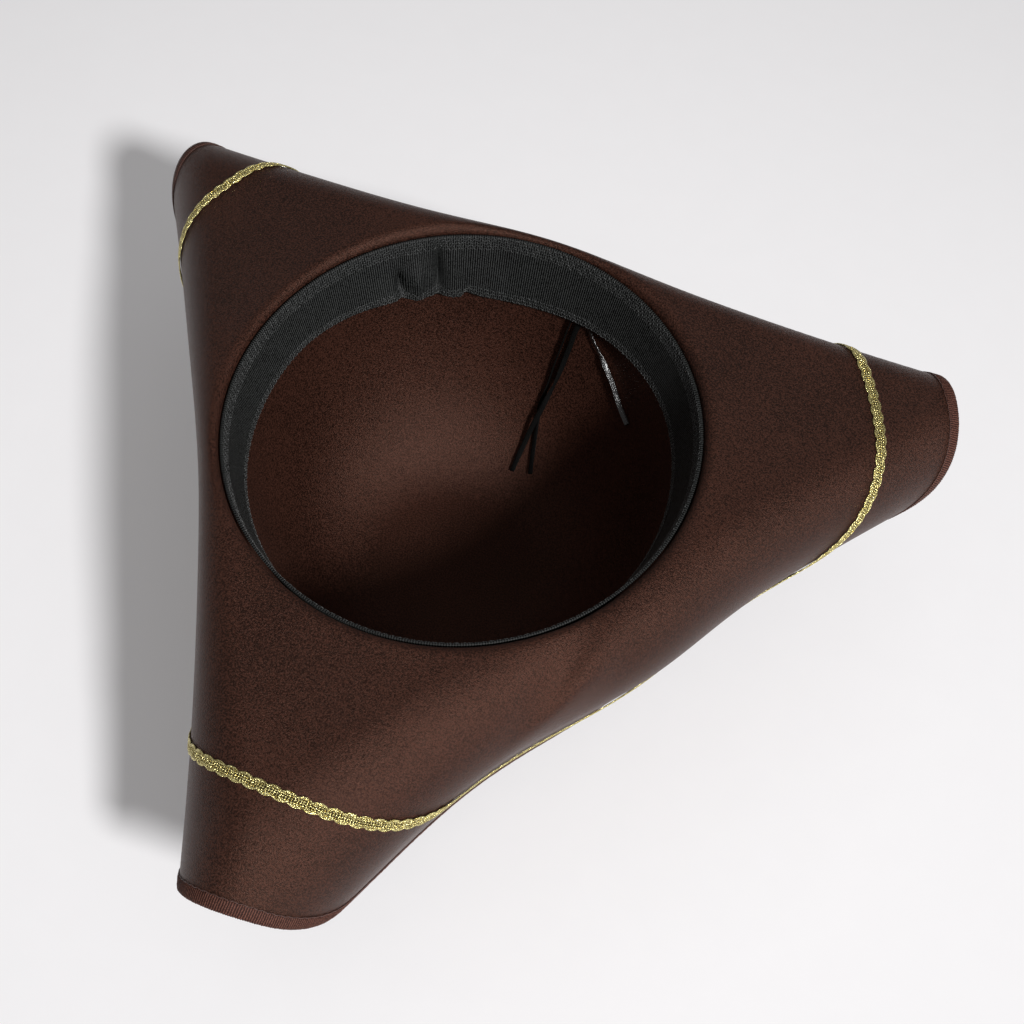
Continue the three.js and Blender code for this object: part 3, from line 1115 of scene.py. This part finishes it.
@dataclass(frozen=True)
class FeltBody:
    """The crown and the brim, blocked from one piece of felt, and its overlocked edge.

    The steps are the mesh rows of the crown, the rim, the brim and its border. The wrap is the
    thread round the brim's edge, and the chain its loops along the inner side.
    """

    shape: HatShape
    columns: int = 324
    steps: tuple[int, int, int, int] = (38, 8, 40, 13)
    column_crowding: float = 0.35
    corner_direction: float = 32.0
    edge_roundness: float = 0.28
    wrap_reach: float = 0.0036
    wrap_lift: float = 0.00025
    wrap_pitch: float = 0.00088
    wrap_slant: float = 1.4
    wrap_shares: tuple[float, ...] = (1.0, 0.9, 0.6, 0.3, 0.1)
    wrap_lifts: tuple[float, ...] = (0.05, 0.7, 1.0, 1.0, 0.9)
    wrap_turns: tuple[float, ...] = (65, 30, 0, -30, -65)
    wrap_flatness: float = 0.7
    wrap_gap: float = 0.0001
    wrap_tuck: float = 0.0004
    rib_height: float = 0.00028
    rib_unevenness: float = 1.6
    chain_pitch: float = 0.0017
    chain_reach: float = 1.02
    chain_lean: float = 0.2
    chain_stitch: Stitch = Stitch(0.0022, 0.0004, 0.0003, 0.15, 3)

    def grid(self) -> tuple[Array, Array]:
        """Where the mesh's points are, with columns closer together towards the corners.

        Returns:
            Their directions and their rows, from the flat to the brim's edge.
        """
        shape = self.shape
        even = np.arange(self.columns) / self.columns * 2 * math.pi
        angles = even - self.column_crowding / 3 * np.sin(3 * (even - math.radians(self.corner_direction)))
        rim_end = shape.crown_rows + shape.rim_rows
        stops = [0, shape.crown_rows, rim_end, shape.braid_row + 0.5, shape.last_row]
        parts = [np.linspace(a, b, n, endpoint=False) for a, b, n in zip(stops, stops[1:], self.steps)]
        return np.meshgrid(angles, np.concatenate(parts + [[shape.last_row]]))

    def build(self, material: Material) -> Piece:
        """Builds the felt as one closed shell, with a rounded brim edge.

        Args:
            material: The felt.

        Returns:
            The piece.
        """
        shape = self.shape
        angle, row = self.grid()
        _, out, off = shape.felt_frame(angle, row)
        seen = shape.felt_point(angle, row)
        hidden = seen - shape.felt_thickness * off
        nose = (seen[-1] + hidden[-1]) / 2 + out[-1] * shape.felt_thickness * self.edge_roundness
        rings = np.concatenate([seen, nose[None], hidden[::-1]])
        caps = np.array([[0, 0, shape.felt_thickness], [0, 0, 0.0]])
        faces = tube_faces(len(rings), self.columns, False).tolist()
        last, cap = (len(rings) - 1) * self.columns, len(rings) * self.columns
        for column in range(self.columns):
            after = (column + 1) % self.columns
            faces += [[cap, column, after], [cap + 1, last + after, last + column]]
        piece = mesh_object("felt_shell", np.concatenate([rings.reshape(-1, 3), caps]), faces)
        piece.data.materials.append(material)
        return dress(piece, "felt_body")

    def edge_line(self, angle: Array) -> Array:
        """The line of the brim's edge."""
        return self.shape.felt_point(angle, float(self.shape.last_row))

    def row_within(self, angle: Array, distance: float | Array) -> Array:
        """The row at a distance in from the brim's edge."""
        width = self.shape.brim(angle) - self.shape.braid_reach(angle) - self.shape.braid_width / 2
        return self.shape.last_row - distance / (width / self.shape.outer_rows)

    def overlock(self, material: Material) -> Piece:
        """Builds the thread that wraps the brim's edge, as one ribbed band.

        Args:
            material: The wrapped thread.

        Returns:
            The piece.
        """
        shape, thickness = self.shape, self.shape.felt_thickness
        angles, length = even_turn(self.edge_line, self.wrap_pitch / 4)
        row = self.row_within(angles, np.array(self.wrap_shares)[:, None] * self.wrap_reach)
        off = shape.felt_frame(angles, row)[2]
        lift = (self.wrap_lift * np.array(self.wrap_lifts))[:, None, None]
        felt = shape.felt_point(angles, row)
        seen, hidden = felt + off * lift, felt - off * (thickness + lift)
        _, out, normal = shape.felt_frame(angles, float(shape.last_row))
        edge, bulge = self.edge_line(angles) - normal * thickness / 2, thickness / 2 + self.wrap_lift
        nose = []
        for turn in np.radians(self.wrap_turns):
            past = bulge * self.wrap_flatness * math.cos(turn) + self.wrap_gap
            nose.append(edge + out * past + normal * bulge * math.sin(turn))
        tucked = [felt - off * self.wrap_tuck, felt - off * (thickness - self.wrap_tuck)]
        rings = np.concatenate([tucked[0][:1], seen, np.array(nose), hidden[::-1], tucked[1][:1]])
        mask = [0.0, 0.3] + [1.0] * (len(rings) - 4) + [0.3, 0.0]
        sizes = {"Rib height": self.rib_height, "Slant": self.wrap_slant, "Unevenness": self.rib_unevenness}
        ribs, across = round(length / self.wrap_pitch), np.linspace(0, 1, len(rings))
        piece = ribbed_band("overlocked_edge", rings, across, mask, ribs, sizes, material)
        return dress(piece)

    def chain(self, thread: Material) -> Piece:
        """Builds the chain of small loops along the inner side of the overlocked edge.

        Args:
            thread: The thread.

        Returns:
            The piece.
        """
        angles, _ = even_turn(self.edge_line, self.chain_pitch)
        row = self.row_within(angles, self.wrap_reach * self.chain_reach)
        ahead, out, off = self.shape.felt_frame(angles, row)
        felt = self.shape.felt_point(angles, row)
        lean = np.where(np.arange(len(angles)) % 2 == 0, self.chain_lean, -self.chain_lean)[:, None]
        forward = unit(ahead + out * lean)
        hidden = felt - off * (self.shape.felt_thickness + self.wrap_lift)
        rows = [(felt + off * self.wrap_lift, forward, off), (hidden, forward, -off)]
        return self.chain_stitch.sew("edge_chain_stitches", rows, Slot.FELT, thread)


@dataclass(frozen=True)
class GoldBraid:
    """The gimp braid sewn round the brim: a stitched core between two scalloped borders."""

    shape: HatShape
    clearance: float = 0.0003
    cord_radius: float = 0.00021
    scallop_length: float = 0.0055
    scallop_depth: float = 0.0009
    scallop_points: int = 12
    core_width: float = 0.0026
    stitch_pitch: float = 0.00105
    stitch_lift: float = 0.00035
    crossing_sink: float = 0.0001
    row_gap: float = 0.0009
    row_leans: tuple[float, float, float] = (0.35, -0.5, 0.35)
    crossing_lean: float = 0.4
    row_stitch: Stitch = Stitch(0.00135, 0.00082, 0.0006, 0.14, 5)
    crossing_stitch: Stitch = Stitch(0.0011, 0.00034, 0.0004, 0.14, 5)

    def path(self, angle: Array) -> Array:
        """The braid's middle line on the felt."""
        return self.shape.felt_point(angle, self.shape.braid_row + 0.5)

    def line(self, spacing: float, height: float) -> tuple[Array, Array, Array, Array, float]:
        """Points along the braid with their directions.

        Args:
            spacing: Distance between points, about.
            height: Height over the felt.

        Returns:
            Points, directions ahead, across and off the felt, and the length of the line.
        """
        angles, length = even_turn(self.path, spacing)
        ahead, side, off = self.shape.felt_frame(angles, self.shape.braid_row + 0.5)
        return self.path(angles) + off * height, ahead, side, off, length

    def scallops(self, material: Material) -> Piece:
        """Builds the cords of the scalloped borders.

        Args:
            material: The gold.

        Returns:
            The piece.
        """
        spacing = self.scallop_length / self.scallop_points
        points, _, side, off, length = self.line(spacing, self.clearance + self.cord_radius)
        piece = mesh_object("braid_scallops", points, [])
        mesh, number = piece.data, np.arange(len(points))
        mesh.edges.add(len(points))
        mesh.edges.foreach_set("vertices", np.stack([number, (number + 1) % len(points)], -1).ravel())
        mesh.update()
        keep_attributes(mesh, {"run": number / len(points) * length, "side": side, "off": off})
        scallop_tree(material).apply(piece, {
            "Scallop length": length / round(length / self.scallop_length),
            "Scallop depth": self.scallop_depth,
            "Core width": self.core_width,
            "Cord radius": self.cord_radius,
        })
        return dress(piece, "gold_braid")

    def rows(self, material: Material) -> Piece:
        """Builds the three rows of stitches along the core.

        Args:
            material: The gold.

        Returns:
            The piece.
        """
        points, ahead, side, off, _ = self.line(self.stitch_pitch, self.clearance + self.stitch_lift)
        places = zip((-self.row_gap, 0.0, self.row_gap), self.row_leans)
        rows = [(points + side * place, unit(ahead + side * lean), off) for place, lean in places]
        return self.row_stitch.sew("braid_cords", rows, Slot.BRAID, material)

    def crossings(self, material: Material) -> Piece:
        """Builds the thin threads that cross between the rows.

        Args:
            material: The gold.

        Returns:
            The piece.
        """
        points, ahead, side, off, _ = self.line(self.stitch_pitch, self.clearance + self.stitch_lift)
        rows = [
            (
                points + side * (way * self.row_gap / 2) - off * self.crossing_sink,
                unit(side - ahead * (way * self.crossing_lean)),
                off,
            )
            for way in (-1, 1)
        ]
        return self.crossing_stitch.sew("braid_crossings", rows, Slot.BRAID, material)


@dataclass(frozen=True)
class Wave:
    """One wave of the sweatband's free edge: degrees, and shares of the band's width."""

    facing: float
    spread: float
    inward: float
    lift: float


@dataclass(frozen=True)
class Pucker:
    """One dent or swelling of the sweatband: degrees, shares of its width, and metres inwards."""

    facing: float
    spread: float
    share: float
    tall: float
    inward: float


@dataclass(frozen=True)
class Sweatband:
    """The ribbed black ribbon inside the opening, sewn along its upper edge.

    Places across it are shares of its width, from 0 at the sewn edge to 1 at the free one. What
    the seam and the notch spread over is in degrees round the opening.
    """

    shape: HatShape
    width: float = 0.026
    thickness: float = 0.0009
    drop: float = 0.001
    taper: float = 0.008
    clearance: float = 0.0003
    rib_pitch: float = 0.00092
    rib_height: float = 0.00032
    rib_unevenness: float = 0.5
    fixed_share: float = 0.15
    seam_facing: float = 111.2
    seam_slant: float = 11.8
    seam_from: float = 0.4
    seam_middle: float = 0.7
    seam_step: float = 0.12
    seam_height: float = 0.001
    seam_fade: float = 12.0
    notch_lift: float = 0.0026
    notch_spread: float = 3.5
    border_row: float = 0.0012
    border_pitch: float = 0.00125
    border_lean: float = 0.9
    border_lift: float = 0.00022
    border_stitch: tuple[float, float, float, float] = (0.0014, 0.00038, 0.0003, 0.25)
    probe_angle: float = 0.003
    probe_share: float = 0.01
    inside: tuple[float, ...] = (
        1.0, 0.985, 0.93, 0.86, 0.79, 0.72, 0.65, 0.58, 0.51, 0.44, 0.36, 0.27, 0.18, 0.08, 0.015, 0.0
    )
    outside: tuple[float, ...] = (0.0, 0.27, 0.51, 0.65, 0.79, 0.93, 1.0)
    waves: tuple[Wave, ...] = (
        Wave(136, 6, 0.1, 0.1),
        Wave(98, 22, 0.04, -0.14),
        Wave(165, 20, 0, 0.12),
        Wave(38, 20, 0, 0.1),
    )
    puckers: tuple[Pucker, ...] = (
        Pucker(132.0, 1.35, 0.76, 0.20, -0.0052),
        Pucker(127.2, 2.2, 0.70, 0.34, 0.0040),
        Pucker(121.4, 1.2, 0.62, 0.36, -0.0042),
        Pucker(117.4, 1.6, 0.60, 0.40, 0.0014),
        Pucker(104.0, 3.0, 0.45, 0.25, -0.0010),
    )

    def over_waves(self, angle: Array, value: Callable[[Wave], float]) -> Array:
        """Sums a value over the waves, each fading out to its sides.

        Args:
            angle: Directions in radians.
            value: What to sum.

        Returns:
            The sum for each direction.
        """
        total = np.zeros_like(angle)
        for wave in self.waves:
            away = angle_between(angle, math.radians(wave.facing)) / math.radians(wave.spread)
            total = total + value(wave) * np.exp(-(away**2))
        return total

    def seam(self, angle: Array, share: Array) -> tuple[Array, Array]:
        """The slanting seam where one end of the band laps over the other.

        Args:
            angle: Directions in radians.
            share: Places across the band.

        Returns:
            Degrees past the seam, and how far a point is on the upper end, from 0 to 1.
        """
        beyond = np.maximum(share, self.seam_from) - self.seam_middle
        slanted = self.seam_facing + self.seam_slant * beyond
        past = (np.degrees(angle) - slanted + 180) % 360 - 180
        return past, 1 / (1 + np.exp(-np.clip(past / self.seam_step, -40, 40)))

    def puckered(self, angle: Array, share: Array) -> Array:
        """How far the puckers and the seam bring the band in from the side.

        Args:
            angle: Directions in radians.
            share: Places across the band.

        Returns:
            The distances in metres.
        """
        past, over = self.seam(angle, share)
        total = self.seam_height * share * over * np.exp(-((past / self.seam_fade) ** 2))
        for pucker in self.puckers:
            away = np.degrees(angle_between(angle, math.radians(pucker.facing))) / pucker.spread
            total = total + pucker.inward * np.exp(-(away**2) - ((share - pucker.share) / pucker.tall) ** 2)
        return total * np.minimum(1, share / self.fixed_share)

    def point(self, angle: Array, share: float | Array, inward: float) -> Array:
        """Points of the band.

        Args:
            angle: Directions in radians.
            share: Places across the band.
            inward: Distance in from its outer face.

        Returns:
            The points.
        """
        share = share + 0 * angle
        pull = self.width * share**2
        waved = pull * self.over_waves(angle, lambda w: w.inward)
        stand_off = 2 * self.clearance + self.taper * share + waved + self.puckered(angle, share)
        radius = self.shape.opening_radius(angle) - stand_off - inward
        fall = share * math.sqrt(self.width**2 - self.taper**2)
        past, over = self.seam(angle, share)
        notch = share**2 * self.notch_lift * (1 - over) * np.exp(-((past / self.notch_spread) ** 2))
        lift = pull * self.over_waves(angle, lambda w: w.lift) + notch
        z = self.shape.height - self.shape.rim_roll / 2 - self.drop - fall + lift
        return np.stack([radius * np.cos(angle), radius * np.sin(angle), z], -1)

    def face(self, angle: Array, share: float) -> Array:
        """Points of the band's inner face."""
        return self.point(angle, share, self.thickness)

    def ribbon(self, material: Material) -> Piece:
        """Args:
            material: The ribbed ribbon.

        Returns:
            The piece.
        """
        angles, length = even_turn(lambda a: self.face(a, 0.5), self.rib_pitch / 4)
        section = [(share, self.thickness) for share in self.inside]
        section += [(share, 0.0) for share in self.outside]
        rings = np.array([self.point(angles, share, inward) for share, inward in section])
        mask = [0.0, 0.7] + [1.0] * (len(self.inside) - 4) + [0.7, 0.0] + [0.0] * len(self.outside)
        sizes = {"Rib height": self.rib_height, "Slant": 0.0, "Unevenness": self.rib_unevenness}
        ribs, across = round(length / self.rib_pitch), np.array([share for share, _ in section])
        piece = ribbed_band("sweatband_ribbon", rings, across, mask, ribs, sizes, material)
        dress(piece, "sweatband")
        return piece

    def border(self, edge: Edge, thread: Material) -> Piece:
        """Builds the worked border along one edge: rows of slanting stitches.

        Args:
            edge: Which edge.
            thread: The thread.

        Returns:
            The piece.
        """
        place, count, seed = edge.value
        face, rows, turn, step = self.face, [], self.probe_angle, self.probe_share
        for number in range(count):
            share = abs(place - (number + 0.5) * self.border_row / self.width)
            angles, _ = even_turn(lambda a: face(a, share), self.border_pitch)
            ahead = unit(face(angles + turn, share) - face(angles - turn, share))
            down = unit(face(angles, share + step) - face(angles, share - step))
            off = unit(np.cross(ahead, down))
            outwards = off[:, 0] * np.cos(angles) + off[:, 1] * np.sin(angles) > 0
            off = off * np.where(outwards, -1, 1)[:, None]
            even = (np.arange(len(angles)) + number) % 2 == 0
            lean = np.where(even, self.border_lean, -self.border_lean)[:, None]
            rows.append((face(angles, share) + off * self.border_lift, unit(ahead + down * lean), off))
        stitch = Stitch(*self.border_stitch, seed)
        return stitch.sew(f"sweatband_{edge.name.lower()}_border", rows, Slot.RIBBON, thread)


TIES = (
    Tie(
        "tie_left_back",
        (
            (9.0, 88.7, 79.5), (9.2, 87.4, 74.5), (8.4, 85.8, 68.0), (7.7, 83.8, 60.7),
            (6.8, 81.3, 52.8), (6.3, 78.6, 45.4), (6.0, 75.6, 38.4), (5.6, 72.4, 32.1),
            (6.1, 69.1, 27.0), (7.2, 65.4, 22.2), (8.4, 61.4, 17.8), (9.7, 57.0, 14.0),
            (11.4, 51.9, 10.5),
        ),
        ((0, 90), (0.45, 90), (0.6, 20), (0.7, -20), (1, 15)),
    ),
    Tie(
        "tie_left_front",
        (
            (12.5, 88.2, 79.5), (12.8, 86.9, 74.5), (11.9, 85.8, 69.5), (11.2, 83.8, 62.1),
            (10.5, 81.6, 55.4), (9.9, 79.1, 49.1), (9.1, 76.0, 43.2), (7.9, 72.5, 37.6),
            (6.9, 69.4, 32.3), (6.0, 67.0, 28.2), (5.0, 64.0, 22.6), (4.3, 60.4, 17.2),
            (3.7, 56.1, 12.7), (3.6, 50.7, 9.1),
        ),
        ((0, 0), (0.3, 15), (0.46, 72), (0.58, 0), (0.8, 0), (1, -15)),
    ),
    Tie(
        "tie_right",
        (
            (16.0, 87.4, 79.5), (17.4, 85.9, 74.5), (20.2, 84.4, 70.5), (22.9, 82.8, 68.2),
            (26.3, 80.9, 65.6), (29.9, 78.5, 62.5), (33.5, 75.9, 59.6), (36.7, 73.1, 56.8),
            (40.2, 69.9, 53.8), (45.6, 65.0, 51.5),
        ),
        ((0, -5), (0.40, 0), (0.5, 60), (0.58, 76), (1, 74)),
        glossy=True,
    ),
)


DULL_SATIN = SatinFinish(
    "black_satin_back", light=(0.007, 0.0068, 0.0065), smoothest=0.5, specular=0.08, coat=0.0
)
# dark is painted shade between the thread's wraps and light is the painted highlight on their tops
EDGE_WRAPPING = RibbedFinish(
    "edge_wrapping", (0.026, 0.0100, 0.0070), (0.140, 0.057, 0.041),
    smoothest=0.5, lean=FeltBody.wrap_slant / math.pi, mottle=1.8,
)
EDGE_THREAD = ThreadFinish("edge_thread", (0.030, 0.0105, 0.0068), (0.105, 0.040, 0.027))
# dark is painted shade between the ribs and light is the painted highlight on their tops
GROSGRAIN = RibbedFinish("black_grosgrain", (0.0008, 0.0009, 0.0009), (0.046, 0.048, 0.047))
BLACK_THREAD = ThreadFinish(
    "black_thread", (0.0020, 0.0022, 0.0021), (0.070, 0.073, 0.072), smoothest=0.32
)


def main() -> None:
    logging.basicConfig(level=logging.INFO, format="%(message)s")
    studio, shape = Studio(), HatShape()
    studio.camera()
    satin = {True: SatinFinish().build(), False: DULL_SATIN.build()}
    pieces = [tie.build(satin[tie.glossy]) for tie in TIES]
    felt = FeltBody(shape)
    pieces.append(felt.build(FeltFinish().build()))
    pieces.append(felt.overlock(EDGE_WRAPPING.build()))
    pieces.append(felt.chain(EDGE_THREAD.build()))
    braid, gold = GoldBraid(shape), GoldFinish().build()
    pieces += [braid.scallops(gold), braid.rows(gold), braid.crossings(gold)]
    band = Sweatband(shape)
    pieces.append(band.ribbon(GROSGRAIN.build()))
    thread = BLACK_THREAD.build()
    pieces += [band.border(edge, thread) for edge in Edge]
    studio.floor()
    studio.lights()
    for piece in pieces:
        log.info("%s: %d faces", piece.name, len(piece.data.polygons))


if __name__ == "__main__":
    main()
